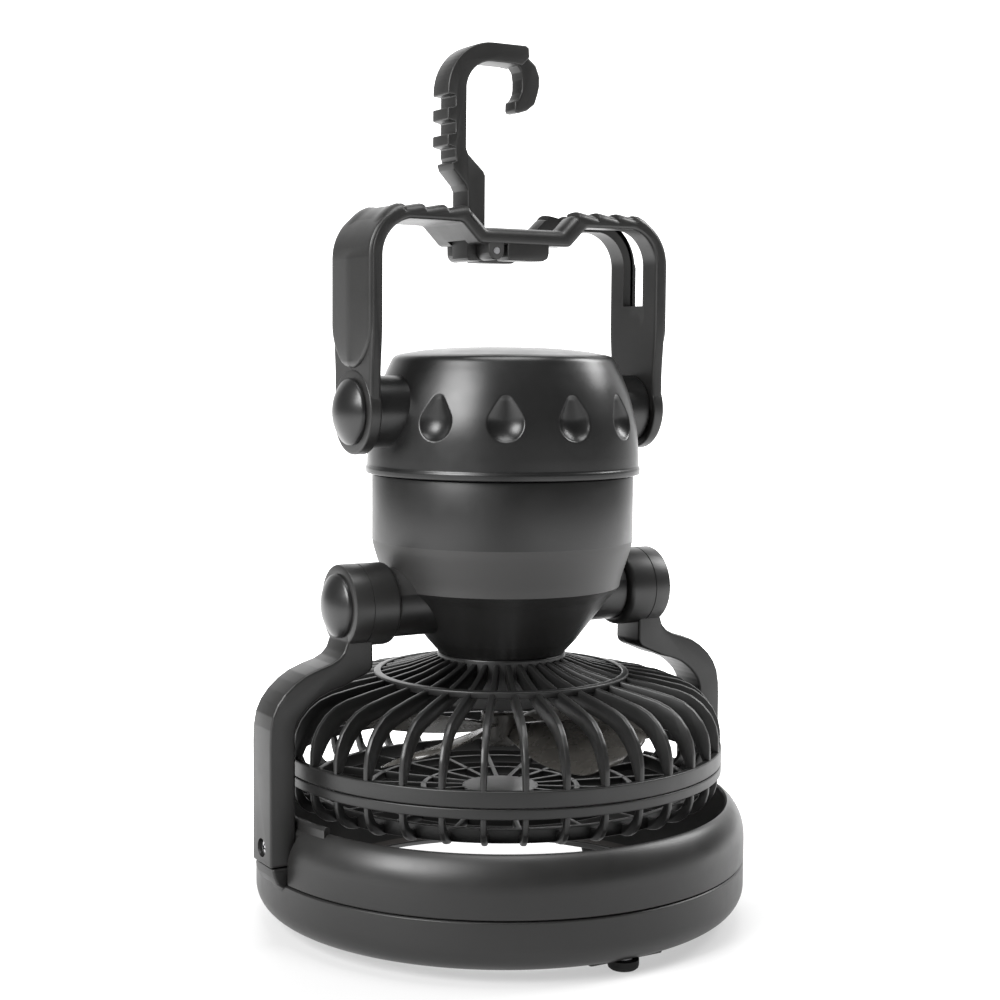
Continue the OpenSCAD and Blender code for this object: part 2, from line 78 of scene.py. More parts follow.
def make(name, mesh, mats, body, replaces=(), angle=38, weld=True):
    me = bpy.data.meshes.new(name)
    me.from_pydata([(x * S, y * S, z * S) for x, y, z in mesh.v], [], mesh.f)
    for m in mats:
        me.materials.append(m)
    me.polygons.foreach_set("material_index", mesh.m)
    bm = bmesh.new()
    bm.from_mesh(me)
    if weld:
        bmesh.ops.remove_doubles(bm, verts=bm.verts, dist=2e-7)
    bmesh.ops.dissolve_degenerate(bm, edges=bm.edges, dist=1e-7)
    bmesh.ops.recalc_face_normals(bm, faces=bm.faces)
    bm.to_mesh(me)
    bm.free()
    me.shade_smooth()
    me.set_sharp_from_angle(angle=math.radians(angle))
    o = bpy.data.objects.new(name, me)
    scene.collection.objects.link(o)
    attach(o, body)
    if replaces:
        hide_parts(*replaces)
    return o


def temp(mesh):
    """A bare object for a boolean."""
    me = bpy.data.meshes.new("tmp")
    me.from_pydata([(x * S, y * S, z * S) for x, y, z in mesh.v], [], mesh.f)
    bm = bmesh.new()
    bm.from_mesh(me)
    bmesh.ops.remove_doubles(bm, verts=bm.verts, dist=2e-7)
    bmesh.ops.recalc_face_normals(bm, faces=bm.faces)
    bm.to_mesh(me)
    bm.free()
    o = bpy.data.objects.new("tmp", me)
    scene.collection.objects.link(o)
    return o


def cut(base, tools, op="DIFFERENCE"):
    """base minus each tool; all are Mesh collectors. Returns a Mesh with base's material 0."""
    b = temp(base)
    ts = [temp(t) for t in tools]
    for t in ts:
        md = b.modifiers.new("b", "BOOLEAN")
        md.operation = op
        md.solver = "EXACT"
        md.object = t
    dg = bpy.context.evaluated_depsgraph_get()
    me = bpy.data.meshes.new_from_object(b.evaluated_get(dg))
    out = Mesh()
    out.v = [tuple(x / S for x in v.co) for v in me.vertices]
    out.f = [tuple(p.vertices) for p in me.polygons]
    out.m = [0] * len(out.f)
    for o in [b] + ts:
        d = o.data
        bpy.data.objects.remove(o)
        bpy.data.meshes.remove(d)
    bpy.data.meshes.remove(me)
    return out


def arc(cx, cy, r, a0, a1, n=8):
    return [(cx + r * math.cos(math.radians(a0 + (a1 - a0) * i / n)),
             cy + r * math.sin(math.radians(a0 + (a1 - a0) * i / n))) for i in range(n + 1)]


def fillet(pts, r, closed=True, n=4, limit=0.45, keep=()):
    """Rounds every corner of a 2D path. r is one radius, or a function of the point's number."""
    out = []
    k = len(pts)
    for i, p in enumerate(pts):
        if (not closed and i in (0, k - 1)) or i in keep:
            out.append(tuple(p))
            continue
        a = Vector(pts[i - 1]) - Vector(p)
        b = Vector(pts[(i + 1) % k]) - Vector(p)
        la, lb = a.length, b.length
        if la < 1e-6 or lb < 1e-6:
            continue
        a, b = a / la, b / lb
        cosang = max(-1, min(1, a.dot(b)))
        ang = math.acos(cosang)
        if ang > math.radians(176):
            out.append(tuple(p))
            continue
        rr = r(i) if callable(r) else r
        t = min(rr / math.tan(ang / 2), la * limit, lb * limit)
        P = Vector(p)
        p0, p1 = P + a * t, P + b * t
        for j in range(n + 1):
            u = j / n
            q = p0 * (1 - u) ** 2 + P * 2 * u * (1 - u) + p1 * u ** 2
            out.append((q.x, q.y))
    return out


def spline(pts, step=0.5):
    """A smooth curve through the points (centripetal Catmull-Rom), sampled about every step."""
    P = [Vector(p) for p in pts]
    P = [P[0] * 2 - P[1]] + P + [P[-1] * 2 - P[-2]]
    out = []
    for i in range(1, len(P) - 2):
        p0, p1, p2, p3 = P[i - 1:i + 3]
        t0 = 0
        t1 = t0 + max((p1 - p0).length, 1e-6) ** 0.5
        t2 = t1 + max((p2 - p1).length, 1e-6) ** 0.5
        t3 = t2 + max((p3 - p2).length, 1e-6) ** 0.5
        n = max(1, int(math.ceil((p2 - p1).length / step)))
        for j in range(n):
            t = t1 + (t2 - t1) * j / n
            a1 = p0 * ((t1 - t) / (t1 - t0)) + p1 * ((t - t0) / (t1 - t0))
            a2 = p1 * ((t2 - t) / (t2 - t1)) + p2 * ((t - t1) / (t2 - t1))
            a3 = p2 * ((t3 - t) / (t3 - t2)) + p3 * ((t - t2) / (t3 - t2))
            b1 = a1 * ((t2 - t) / (t2 - t0)) + a2 * ((t - t0) / (t2 - t0))
            b2 = a2 * ((t3 - t) / (t3 - t1)) + a3 * ((t - t1) / (t3 - t1))
            c = b1 * ((t2 - t) / (t2 - t1)) + b2 * ((t - t1) / (t2 - t1))
            out.append(tuple(c))
    out.append(tuple(P[-2]))
    return out


def area2(pts):
    return sum(pts[i - 1][0] * p[1] - p[0] * pts[i - 1][1] for i, p in enumerate(pts)) / 2


def inset(pts, d):
    """A closed outline moved inwards by d, corner by corner."""
    sgn = 1 if area2(pts) > 0 else -1
    k = len(pts)
    out = []
    for i, p in enumerate(pts):
        a = Vector(p) - Vector(pts[i - 1])
        b = Vector(pts[(i + 1) % k]) - Vector(p)
        if a.length < 1e-9:
            a = b
        if b.length < 1e-9:
            b = a
        a.normalize()
        b.normalize()
        na, nb = Vector((-a.y, a.x)) * sgn, Vector((-b.y, b.x)) * sgn
        m = na + nb
        if m.length < 1e-6:
            m = na
        m.normalize()
        c = max(0.35, m.dot(na))
        out.append(Vector(p) + m * (d / c))
    # edges that turned over at a corner tighter than d shrink to a point
    for _ in range(16):
        bad = False
        for i in range(k):
            j = (i + 1) % k
            e0, e1 = Vector(pts[j]) - Vector(pts[i]), out[j] - out[i]
            if e0.dot(e1) < -1e-12:
                out[i] = (out[i] + out[j]) / 2
                out[j] = out[i].copy()
                bad = True
        if not bad:
            break
    return [(q.x, q.y) for q in out]


def slab(outline, w, r=0.5, y=0.0, n=3, plane="xz"):
    """An outline in X and Z, w thick about y, with edges rounded to r."""
    h = w / 2
    rings = []
    for j in range(n + 1):
        t = math.radians(90 * j / n)
        rings.append((r * (1 - math.cos(t)), h - r + r * math.sin(t)))
    loops = []
    for d, yy in reversed(rings):
        loops.append((inset(outline, d) if d > 1e-9 else list(outline), y - yy))
    for d, yy in rings:
        loops.append((inset(outline, d) if d > 1e-9 else list(outline), y + yy))
    verts, faces = [], []
    k = len(outline)
    for pts, yy in loops:
        for (a, b) in pts:
            if plane == "xz":
                verts.append((a, yy, b))
            elif plane == "yz":
                verts.append((yy, a, b))
            else:
                verts.append((a, b, yy))
    for l in range(len(loops) - 1):
        for i in range(k):
            j = (i + 1) % k
            faces.append((l * k + i, l * k + j, (l + 1) * k + j, (l + 1) * k + i))
    faces.append(tuple(range(k)))
    o = (len(loops) - 1) * k
    faces.append(tuple(o + i for i in reversed(range(k))))
    return verts, faces


def lathe(profile, n=96, axis="z", at=(0, 0, 0), closed=True, a0=0.0, a1=360.0):
    """A (radius, height) outline turned about an axis. Points on the axis become poles."""
    full = abs(a1 - a0) >= 359.99
    cols = n if full else n + 1
    verts, rows = [], []
    for (r, h) in profile:
        if r < 1e-5:
            rows.append([len(verts)])
            verts.append((0, 0, h))
        else:
            row = []
            for i in range(cols):
                a = math.radians(a0 + (a1 - a0) * i / n)
                row.append(len(verts))
                verts.append((r * math.cos(a), r * math.sin(a), h))
            rows.append(row)
    faces = []
    pairs = list(zip(range(len(rows) - 1), range(1, len(rows))))
    if closed and not (len(rows[0]) == 1 and len(rows[-1]) == 1):
        pairs.append((len(rows) - 1, 0))
    for a, b in pairs:
        A, B = rows[a], rows[b]
        if len(A) == 1 and len(B) == 1:
            continue
        for i in range(n):
            j = (i + 1) % cols
            if len(A) == 1:
                faces.append((A[0], B[j], B[i]))
            elif len(B) == 1:
                faces.append((A[i], A[j], B[0]))
            else:
                faces.append((A[i], A[j], B[j], B[i]))
    if not full:
        for c in (0, cols - 1):
            ids = [row[c] if len(row) > 1 else row[0] for row in rows]
            faces.append(tuple(ids))
    if axis == "x":
        verts = [(h, x, y) for x, y, h in verts]
    elif axis == "y":
        verts = [(x, h, -y) for x, y, h in verts]
    verts = [(x + at[0], y + at[1], z + at[2]) for x, y, z in verts]
    return verts, faces


def mirror_x(part):
    v, f = part
    return [(-x, y, z) for x, y, z in v], [tuple(reversed(q)) for q in f]


def spin(deg):
    return Matrix.Rotation(math.radians(deg), 4, "Z")


# ------------------------------------------------------------------ materials


def shader(name):
    m = bpy.data.materials.new(name)
    m.use_nodes = True
    nt = m.node_tree
    b = nt.nodes["Principled BSDF"]
    return m, nt, b


def n_(nt, kind, **kw):
    n = nt.nodes.new(kind)
    for k, v in kw.items():
        if k in n.inputs:
            n.inputs[k].default_value = v
        else:
            setattr(n, k, v)
    return n


def moulded(name, rgb, rough, var=0.25, grain=0.35, grain_scale=2200.0, spec=0.5, bands=None, coat=0.0, wear=0.0, depth=0.00002):
    """Moulded plastic: a fine spark-eroded grain, slow changes of gloss where it has been handled, and faint dust."""
    m, nt, b = shader(name)
    L = nt.links
    tc = n_(nt, "ShaderNodeTexCoord")
    slow = n_(nt, "ShaderNodeTexNoise", Scale=38.0, Detail=5.0, Roughness=0.6)
    fine = n_(nt, "ShaderNodeTexNoise", Scale=grain_scale, Detail=2.0, Roughness=0.6)
    scuff = n_(nt, "ShaderNodeTexNoise", Scale=260.0, Detail=8.0, Roughness=0.75, Distortion=0.4)
    for t in (slow, fine, scuff):
        L.new(tc.outputs["Object"], t.inputs["Vector"])
    # colour
    ramp = n_(nt, "ShaderNodeValToRGB")
    ramp.color_ramp.elements[0].position = 0.3
    ramp.color_ramp.elements[1].position = 0.7
    ramp.color_ramp.elements[0].color = tuple(c * (1 - var * 0.5) for c in rgb) + (1,)
    ramp.color_ramp.elements[1].color = tuple(c * (1 + var * 0.5) for c in rgb) + (1,)
    L.new(slow.outputs["Fac"], ramp.inputs["Fac"])
    col = ramp.outputs["Color"]
    # gloss
    mr = n_(nt, "ShaderNodeMapRange")
    mr.inputs["From Min"].default_value = 0.3
    mr.inputs["From Max"].default_value = 0.7
    mr.inputs["To Min"].default_value = rough - 0.05
    mr.inputs["To Max"].default_value = rough + 0.05
    L.new(slow.outputs["Fac"], mr.inputs["Value"])
    add = n_(nt, "ShaderNodeMath", operation="MULTIPLY_ADD")
    add.inputs[1].default_value = 0.10
    L.new(scuff.outputs["Fac"], add.inputs[0])
    L.new(mr.outputs["Result"], add.inputs[2])
    rv = add.outputs[0]
    if bands:
        # (z_low, z_high, rgb, roughness): a ring with another finish
        sep = n_(nt, "ShaderNodeSeparateXYZ")
        L.new(tc.outputs["Object"], sep.inputs[0])
        for z0, z1, brgb, brough in bands:
            a = n_(nt, "ShaderNodeMath", operation="GREATER_THAN")
            a.inputs[1].default_value = z0 * S
            c = n_(nt, "ShaderNodeMath", operation="LESS_THAN")
            c.inputs[1].default_value = z1 * S
            L.new(sep.outputs["Z"], a.inputs[0])
            L.new(sep.outputs["Z"], c.inputs[0])
            mu = n_(nt, "ShaderNodeMath", operation="MULTIPLY")
            L.new(a.outputs[0], mu.inputs[0])
            L.new(c.outputs[0], mu.inputs[1])
            mx = n_(nt, "ShaderNodeMix", data_type="RGBA")
            L.new(mu.outputs[0], mx.inputs["Factor"])
            L.new(col, mx.inputs["A"])
            mx.inputs["B"].default_value = tuple(brgb) + (1,)
            col = mx.outputs["Result"]
            mf = n_(nt, "ShaderNodeMix", data_type="FLOAT")
            L.new(mu.outputs[0], mf.inputs["Factor"])
            L.new(rv, mf.inputs["A"])
            mf.inputs["B"].default_value = brough
            rv = mf.outputs["Result"]
    if wear:
        geo = n_(nt, "ShaderNodeNewGeometry")
        wr = n_(nt, "ShaderNodeMapRange")
        wr.inputs["From Min"].default_value = 0.53
        wr.inputs["From Max"].default_value = 0.60
        L.new(geo.outputs["Pointiness"], wr.inputs["Value"])
        wm = n_(nt, "ShaderNodeMath", operation="MULTIPLY")
        L.new(wr.outputs["Result"], wm.inputs[0])
        wm.inputs[1].default_value = wear
        mx = n_(nt, "ShaderNodeMix", data_type="RGBA")
        L.new(wm.outputs[0], mx.inputs["Factor"])
        L.new(col, mx.inputs["A"])
        mx.inputs["B"].default_value = tuple(min(1, c * 2.2 + 0.02) for c in rgb) + (1,)
        col = mx.outputs["Result"]
    L.new(col, b.inputs["Base Color"])
    L.new(rv, b.inputs["Roughness"])
    b.inputs["Specular IOR Level"].default_value = spec
    if coat:
        b.inputs["Coat Weight"].default_value = coat
        b.inputs["Coat Roughness"].default_value = 0.25
    bump = n_(nt, "ShaderNodeBump")
    bump.inputs["Strength"].default_value = grain
    bump.inputs["Distance"].default_value = depth
    L.new(fine.outputs["Fac"], bump.inputs["Height"])
    L.new(bump.outputs["Normal"], b.inputs["Normal"])
    return m


def metal(name, rgb, rough, brushed=True, scale=900.0):
    m, nt, b = shader(name)
    L = nt.links
    tc = n_(nt, "ShaderNodeTexCoord")
    mp = n_(nt, "ShaderNodeMapping")
    mp.inputs["Scale"].default_value = (1, 1, 8) if brushed else (1, 1, 1)
    t = n_(nt, "ShaderNodeTexNoise", Scale=scale, Detail=4.0)
    L.new(tc.outputs["Object"], mp.inputs["Vector"])
    L.new(mp.outputs["Vector"], t.inputs["Vector"])
    mr = n_(nt, "ShaderNodeMapRange")
    mr.inputs["To Min"].default_value = rough - 0.08
    mr.inputs["To Max"].default_value = rough + 0.12
    L.new(t.outputs["Fac"], mr.inputs["Value"])
    L.new(mr.outputs["Result"], b.inputs["Roughness"])
    ramp = n_(nt, "ShaderNodeValToRGB")
    ramp.color_ramp.elements[0].color = tuple(c * 0.85 for c in rgb) + (1,)
    ramp.color_ramp.elements[1].color = tuple(min(1, c * 1.1) for c in rgb) + (1,)
    L.new(t.outputs["Fac"], ramp.inputs["Fac"])
    L.new(ramp.outputs["Color"], b.inputs["Base Color"])
    b.inputs["Metallic"].default_value = 1.0
    bump = n_(nt, "ShaderNodeBump")
    bump.inputs["Strength"].default_value = 0.3
    bump.inputs["Distance"].default_value = 0.00001
    L.new(t.outputs["Fac"], bump.inputs["Height"])
    L.new(bump.outputs["Normal"], b.inputs["Normal"])
    return m


def clear(name, rgb, rough, weight, ior=1.49):
    m, nt, b = shader(name)
    L = nt.links
    tc = n_(nt, "ShaderNodeTexCoord")
    t = n_(nt, "ShaderNodeTexNoise", Scale=140.0, Detail=4.0)
    L.new(tc.outputs["Object"], t.inputs["Vector"])
    ramp = n_(nt, "ShaderNodeValToRGB")
    ramp.color_ramp.elements[0].color = tuple(c * 0.9 for c in rgb) + (1,)
    ramp.color_ramp.elements[1].color = tuple(min(1, c * 1.08) for c in rgb) + (1,)
    L.new(t.outputs["Fac"], ramp.inputs["Fac"])
    L.new(ramp.outputs["Color"], b.inputs["Base Color"])
    mr = n_(nt, "ShaderNodeMapRange")
    mr.inputs["To Min"].default_value = max(0.0, rough - 0.03)
    mr.inputs["To Max"].default_value = rough + 0.06
    L.new(t.outputs["Fac"], mr.inputs["Value"])
    L.new(mr.outputs["Result"], b.inputs["Roughness"])
    b.inputs["Transmission Weight"].default_value = weight
    b.inputs["IOR"].default_value = ior
    return m


black = moulded("black_plastic", (0.0120, 0.0118, 0.0115), 0.34, wear=0.35)
cap_black = moulded("cap_plastic", (0.0075, 0.0075, 0.0075), 0.27)
body_black = moulded("housing_plastic", (0.0080, 0.0079, 0.0078), 0.33, bands=[(101.75, 116.1, (0.030, 0.0295, 0.029), 0.50)])
guard_black = moulded("guard_plastic", (0.0090, 0.0090, 0.0088), 0.34, wear=0.35)
handle_black = moulded("handle_plastic", (0.0110, 0.0108, 0.0105), 0.36, wear=0.35)
dome_black = moulded("dome_plastic", (0.0090, 0.0090, 0.0090), 0.27, wear=0.2)
# painted light: a paler copy of the ring's black plastic, painted on the shaded inner cone of the ring to brighten it
painted_light_cone = moulded("painted_light_cone_plastic", (0.052, 0.048, 0.045), 0.30)
trim = moulded("trim_plastic", (0.012, 0.012, 0.012), 0.5)
rubber = moulded("foot_rubber", (0.010, 0.010, 0.010), 0.7, grain=0.5, grain_scale=1500.0, spec=0.3)
button_mat = moulded("button_rubber", (0.03, 0.03, 0.03), 0.55, grain=0.5, grain_scale=1800.0)
gasket = moulded("gasket_rubber", (0.012, 0.012, 0.012), 0.6)
steel = metal("plated_steel", (0.62, 0.62, 0.64), 0.28)
dark_steel = metal("dark_screw", (0.55, 0.55, 0.56), 0.24)
brass = metal("contact_strip", (0.72, 0.56, 0.28), 0.3)
can = moulded("cell_sleeve", (0.05, 0.055, 0.065), 0.35, grain=0.1, coat=0.3)
white_board = moulded("white_board", (0.72, 0.72, 0.70), 0.45, grain=0.15)
green_board = moulded("green_board", (0.02, 0.12, 0.05), 0.4, grain=0.15)
smoke = clear("smoked_plastic", (0.105, 0.099, 0.090), 0.26, 0.30)
lens_mat = clear("clear_lens", (0.93, 0.95, 0.97), 0.08, 0.95)
led_mat = clear("led_epoxy", (0.95, 0.95, 0.88), 0.06, 0.85)


def paint(node, mat, angle=35):
    o = NODES[node]
    o.data.materials.clear()
    o.data.materials.append(mat)
    o.data.polygons.foreach_set("material_index", [0] * len(o.data.polygons))
    o.data.shade_smooth()
    o.data.set_sharp_from_angle(angle=math.radians(angle))


for node, mat in {
    "led_lens": lens_mat, "led_board": white_board, "leds": led_mat, "ring_feet": rubber, "shell_screws": steel,
    "motor": steel, "motor_screws": steel, "contact_board": green_board, "battery_springs": steel, "battery_cells": can,
    "switch_bodies": trim, "cap_gasket": gasket, "pivot_washers": steel, "pivot_screws": steel, "motor_shaft": steel,
    "cap_contact": brass, "handle_screws": steel, "ring_upper_shell": black, "ring_lower_shell": black,
    "yoke_arm_left": black, "yoke_arm_right": black, "arm_screws": dark_steel, "yoke_pivot_caps": dome_black,
    "housing": body_black, "guard_upper": guard_black, "guard_lower": guard_black, "switch_bezel": trim,
    "impeller": smoke, "battery_cap": cap_black, "handle": handle_black, "handle_pivot_caps": dome_black,
    "hook_pin": steel, "hook": handle_black, "fan_button": button_mat, "light_button": button_mat,
}.items():
    paint(node, mat)

# ------------------------------------------------------------------ battery cap
def round_cone(p, a, b, r1, r2):
    """Signed distance from points to a ball r1 at a, a ball r2 at b and the cone between them."""
    ba = b - a
    l2 = ba @ ba
    rr = r1 - r2
    a2 = l2 - rr * rr
    pa = p - a
    y = pa @ ba
    z = y - l2
    x = pa * l2 - y[:, None] * ba
    x2 = (x * x).sum(1)
    y2, z2 = y * y * l2, z * z * l2
    k = np.sign(rr) * rr * rr * x2
    d = (np.sqrt(x2 * a2 / l2) + y * rr) / l2 - r1
    d = np.where(np.sign(y) * a2 * y2 < k, np.sqrt(x2 + y2) / l2 - r1, d)
    return np.where(np.sign(z) * a2 * z2 > k, np.sqrt(x2 + z2) / l2 - r2, d)


def resample(path, step):
    P = np.array(path, float)
    seg = np.hypot(*np.diff(P, axis=0).T)
    s = np.concatenate([[0], np.cumsum(seg)])
    n = max(2, int(round(s[-1] / step)) + 1)
    t = np.linspace(0, s[-1], n)
    return np.stack([np.interp(t, s, P[:, 0]), np.interp(t, s, P[:, 1])], 1)


CAP_Z = 136.2
side = spline([(41.95, 138.9), (41.8, 143), (41.3, 149.4), (40.5, 154.2), (39.3, 158.7), (37.9, 163), (36.1, 167.4), (34.95, 169.9)], 0.4)
crown = spline([(31.2, 172.95), (24, 174.1), (14, 174.9), (5, 175.15), (0.0, 175.2)], 1.2)
lip = fillet([(40.3, 136.55), (42.3, 136.55), (42.33, 138.35), (41.95, 138.9)], 0.35, closed=False)
edge = fillet([side[-1], (33.9, 172.15), crown[0]], 3.2, closed=False, n=10, limit=0.9)
outer = resample(lip[:-1] + side[:-1] + edge + crown[1:], 0.34)
outer[-1, 0] = 0.0
inner = [(0.0, 166.6), (30.5, 166.6), (30.5, 169.4), (32, 169.2), (33.6, 167.8), (34.7, 165.8), (34.9, 162.6), (35.4, 158.4), (35.9, 155), (36.4, 152.2), (38.8, 150.6), (39.9, 147.2), (39.9, 137.2)]
NC = 900
prof = np.array([tuple(p) for p in outer] + inner)
nout = len(outer)
tang = np.gradient(outer, axis=0)
tang /= np.maximum(np.hypot(tang[:, 0], tang[:, 1]), 1e-9)[:, None]
norm = np.stack([tang[:, 1], -tang[:, 0]], 1)
arcl = np.concatenate([[0], np.cumsum(np.hypot(*np.diff(outer, axis=0).T))])
th = np.radians(np.arange(NC) * 360.0 / NC)
cap = Mesh()
verts, rows = [], []
DIMPLES = [-150, -120, -90, -60, -30, 30, 60, 90, 120, 150]
for k, (r, z) in enumerate(prof):
    if r < 1e-5:
        rows.append([len(verts)])
        verts.append((0.0, 0.0, z))
        continue
    rr, zz = np.full(NC, r), np.full(NC, z)
    if k < nout and 145 < z < 165:
        d = np.zeros(NC)
        for a in DIMPLES:
            ar = math.radians(a)
            du = (th - ar + math.pi) % (2 * math.pi) - math.pi
            sel = np.abs(du) < 0.26
            t = th[sel]
            pt = np.stack([r * np.cos(t), r * np.sin(t), np.full(t.shape, z)], 1)
            nn = np.stack([norm[k, 0] * np.cos(t), norm[k, 0] * np.sin(t), np.full(t.shape, norm[k, 1])], 1)
            ca = np.array([46.0 * math.cos(ar), 46.0 * math.sin(ar), 154.2])
            cb = np.array([41.3 * math.cos(ar), 41.3 * math.sin(ar), 159.6])
            s0 = round_cone(pt, ca, cb, 8.0, 3.3)
            go = np.zeros(t.shape)
            for _ in range(30):
                go += np.clip(-round_cone(pt - nn * go[:, None], ca, cb, 8.0, 3.3), 0, 5)
            soft = np.clip((0.05 - s0) / 0.45, 0, 1)
            d[sel] = np.maximum(d[sel], go * soft * soft * (3 - 2 * soft))
        rr = rr - d * norm[k, 0]
        zz = zz - d * norm[k, 1]
    row = []
    for i in range(NC):
        row.append(len(verts))
        verts.append((rr[i] * math.cos(th[i]), rr[i] * math.sin(th[i]), zz[i]))
    rows.append(row)
faces = []
for a, b in list(zip(range(len(rows) - 1), range(1, len(rows)))) + [(len(rows) - 1, 0)]:
    A, B = rows[a], rows[b]
    if len(A) == 1 and len(B) == 1:
        continue
    for i in range(NC):
        j = (i + 1) % NC
        if len(A) == 1:
            faces.append((A[0], B[j], B[i]))
        elif len(B) == 1:
            faces.append((A[i], A[j], B[0]))
        else:
            faces.append((A[i], A[j], B[j], B[i]))
cap.add((verts, faces))
SWING_Z = 155.7
SXX = 51.8
boss = fillet([(10.7, 32), (10.7, SXX - 3.8), (5.0, SXX - 3.8), (5.0, SXX - 0.7), (0.8, SXX - 0.7)], 0.6, closed=False)
for f in (lambda q: q, mirror_x):
    cap.add(f(lathe([(0, 32)] + boss + [(0, SXX - 0.7)], 96, "x", (0, 0, SWING_Z), closed=False)))
make("cap_shell", cap, [cap_black], "cap", ["battery_cap"], angle=50)

# ------------------------------------------------------------------ housing
PIV = 98.5
out_h = fillet([(19.6, 81), (21.2, 82.8), (23.2, 85), (25.3, 87.8), (27.5, 90.7), (30.4, 94.4), (33.6, 98.6), (35.4, 100.6), (36.3, 101.8)], 4.0, closed=False)
band = [(36.45, 101.9), (36.9, 104.2), (38.5, 109.3), (39.9, 113.9), (40.30, 116.0)]
band = spline(band, 0.8)
up = [(40.35, 116.2), (40.35, 135.6), (40.2, 136.0), (39.9, 136.2), (37.8, 136.2), (37.8, 149.6), (37.4, 150), (35.8, 150), (35.4, 149.6), (35.4, 135), (38.3, 132), (38.3, 116.5), (38, 114.2), (36.5, 109.6), (34.9, 104), (34.3, 101.3), (0, 101.3), (0, 99.3), (29, 99.3), (30.6, 98), (28.5, 95.2), (23.4, 88.6), (17.5, 81)]
house = Mesh().add(lathe([(17.6, 81)] + out_h[:] + band + up[:-1], 192))
trun = fillet([(10.35, 24), (10.35, 40.7), (6.0, 40.7), (6.0, 53.2)], 0.7, closed=False)
for f in (lambda q: q, mirror_x):
    house.add(f(lathe([(0, 24)] + trun + [(0, 53.2)], 96, "x", (0, 0, PIV), closed=False)))
make("housing_shell", house, [body_black], "head", ["housing"], angle=30)

# ------------------------------------------------------------------ fan guard
RIBS = 36
rib_u = fillet([
    (17, 80.2), (20, 79.8), (29, 76.8), (38.6, 74.5), (48, 72.9), (56, 71.2), (60, 69.7), (63.2, 67.4), (65.9, 64.2),
    (67.6, 60.6), (68.3, 57), (68.4, 50), (67, 50), (66, 52.6), (64.6, 55.6), (63, 58.6), (60.8, 61.8), (57.6, 64.6),
    (54, 66.2), (47, 67.9), (38, 69.6), (29, 71.8), (20, 74.6), (17, 75.4)], 6.0, n=3)
gu = Mesh()
for i in range(RIBS):
    gu.add(slab(rib_u, 1.7, 0.5, n=2), at=spin(270 + 180 / RIBS + i * 360 / RIBS))
gu.add(lathe(fillet([(66.7, 48.1), (68.7, 48.1), (68.7, 52.9), (66.7, 52.9)], 0.45), 288))
gu.add(lathe(fillet([(37.6, 73.2), (39.5, 72.8), (39.7, 75.0), (37.5, 75.3)], 0.5), 192))
gu.add(lathe(fillet([(17.6, 80.9), (17.6, 67.5), (3.1, 67.5), (3.1, 65.5), (20, 65.5), (20, 80.9)], 0.6), 144))
make("guard_top", gu, [guard_black], "head", ["guard_upper"], angle=40)

rib_l = fillet([
    (68.2, 46.5), (68, 42.6), (67.2, 39.8), (65.6, 37.6), (63.4, 36.1), (61, 35.6), (59, 35.6), (59, 39.4), (61, 38.9),
    (63, 39.4), (64.8, 41.2), (66, 44), (66.9, 46.5)], 3.0, n=3)
gl = Mesh()
for i in range(RIBS):
    gl.add(slab(rib_l, 1.7, 0.5, n=2), at=spin(270 + 180 / RIBS + i * 360 / RIBS))
gl.add(lathe(fillet([(66.7, 44.9), (68.7, 44.9), (68.7, 47.85), (66.7, 47.85)], 0.45), 288))
gl.add(lathe(fillet([(58.4, 36), (60.3, 36), (60.3, 40.2), (58.4, 40.2)], 0.4), 240))
for i in range(18):
    gl.add(slab([(11, 36), (59, 36), (59, 38.4), (11, 38.4)], 1.6, 0.4, n=2), at=spin(5 + 20 * i))
for r in (25, 42):
    gl.add(lathe(fillet([(r - 1.8, 36), (r, 36), (r, 38.4), (r - 1.8, 38.4)], 0.4), 144))
gl.add(lathe([(0, 36)] + fillet([(0.5, 36), (12, 36), (12, 38.4), (0.5, 38.4)], 0.5, closed=False) + [(0, 38.4)], 96, closed=False))
make("guard_bottom", gl, [guard_black], "head", ["guard_lower"], angle=40)

# ------------------------------------------------------------------ fan
fan = Mesh()
fan.add(lathe([(0, 51.5)] + fillet([(1.2, 51.5), (5.4, 51.5), (6.2, 53), (6.2, 62), (1.2, 62)], 0.8, closed=False) + [(0, 62)], 64, closed=False))
NB, NR, NCH = 5, 22, 10
for b in range(NB):
    top, bot = [], []
    for i in range(NR + 1):
        u = i / NR
        r = 5.4 + (55 - 5.4) * u
        half = (3.0 + 11.0 * math.sin(min(1, u * 1.25) * math.pi / 2)) * (1 - 0.75 * max(0, (u - 0.86) / 0.14) ** 2.2)
        pitch = math.radians(40 - 20 * u)
        rt, rb = [], []
        for j in range(NCH + 1):
            c = -1 + 2 * j / NCH
            y = c * half
            camber = 1.3 * (1 - c * c)
            th_ = 0.75 * (1 - 0.55 * c * c)
            base = (r, y * math.cos(pitch), 56.5 + y * math.sin(pitch) * 0.85)
            rt.append((base[0], base[1], base[2] + camber + th_ / 2))
            rb.append((base[0], base[1], base[2] + camber - th_ / 2))
        top.append(rt)
        bot.append(rb)
    v, f = [], []
    W = NCH + 1
    for grid in (top, bot):
        for row in grid:
            v += row
    o = (NR + 1) * W
    for i in range(NR):
        for j in range(NCH):
            a = i * W + j
            f.append((a, a + 1, a + W + 1, a + W))
            f.append((o + a, o + a + W, o + a + W + 1, o + a + 1))
    edge_ids = [i * W for i in range(NR + 1)] + [NR * W + j for j in range(1, W)] + [i * W + NCH for i in range(NR - 1, -1, -1)] + [j for j in range(NCH - 1, 0, -1)]
    for q in range(len(edge_ids)):
        a, c = edge_ids[q], edge_ids[(q + 1) % len(edge_ids)]
        f.append((a, o + a, o + c, c))
    fan.add((v, f), at=spin(-6 + b * 360 / NB))
make("fan_wheel", fan, [smoke], "rotor", ["impeller"], angle=50)

